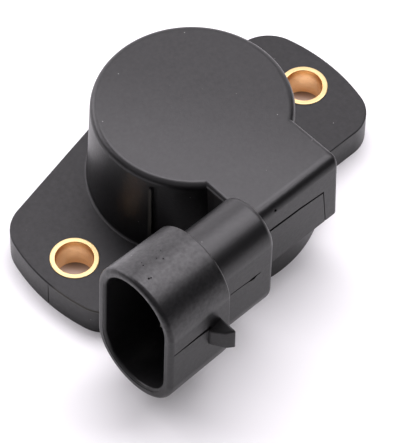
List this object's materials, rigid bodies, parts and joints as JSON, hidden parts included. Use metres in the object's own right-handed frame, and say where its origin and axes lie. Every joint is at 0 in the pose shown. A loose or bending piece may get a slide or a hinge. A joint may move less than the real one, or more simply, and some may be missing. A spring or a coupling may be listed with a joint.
{
  "type": "throttle position sensor",
  "caption": "Black moulded throttle position sensor with a two-eared flange, brass bushes, round cup, side connector and a sprung rotor inside.",
  "frame": {"origin": "on the rotor axis, in the mounting face, midway between the two screw bushes", "axes": "+Z along the rotor axis from the mounting face to the cup's roof; +X to the screw bush away from the connector's mouth; the connector lies on the -Y side and opens to -X"},
  "size_m": [0.059, 0.0472, 0.0271],
  "materials": {
    "black_moulding": "fine moulded",
    "bush_brass": "turned",
    "tinned_brass": "tin plated",
    "board_laminate": "laminate",
    "track_ink": "printed carbon",
    "trace_metal": "printed silver",
    "rotor_moulding": "moulded",
    "contact_bronze": "rolled strip",
    "spring_steel": "drawn wire",
    "seal_rubber": "smooth"
  },
  "bodies": {
    "sensor_body": {"housing": "black_moulding", "left_bush": "bush_brass", "right_bush": "bush_brass", "terminal_supply": "tinned_brass", "terminal_signal": "tinned_brass", "terminal_ground": "tinned_brass", "track_board": "board_laminate", "resistor_track": "track_ink", "supply_trace": "trace_metal", "ground_trace": "trace_metal", "collector_track": "trace_metal", "return_spring": "spring_steel", "base_cover": "black_moulding", "seal_ring": "seal_rubber"},
    "rotor_unit": {"rotor": "rotor_moulding", "wiper": "contact_bronze"}
  },
  "joints": [
    {"name": "rotor_turn", "type": "hinge", "parent": "sensor_body", "child": "rotor_unit", "pos_m": [0, 0, 0], "axis": [0, 0, 1], "range_deg": [0, 95], "stiffness_Nm_per_rad": 0.0064, "springref_deg": -89.95, "deforming": ["return_spring"]}
  ]
}
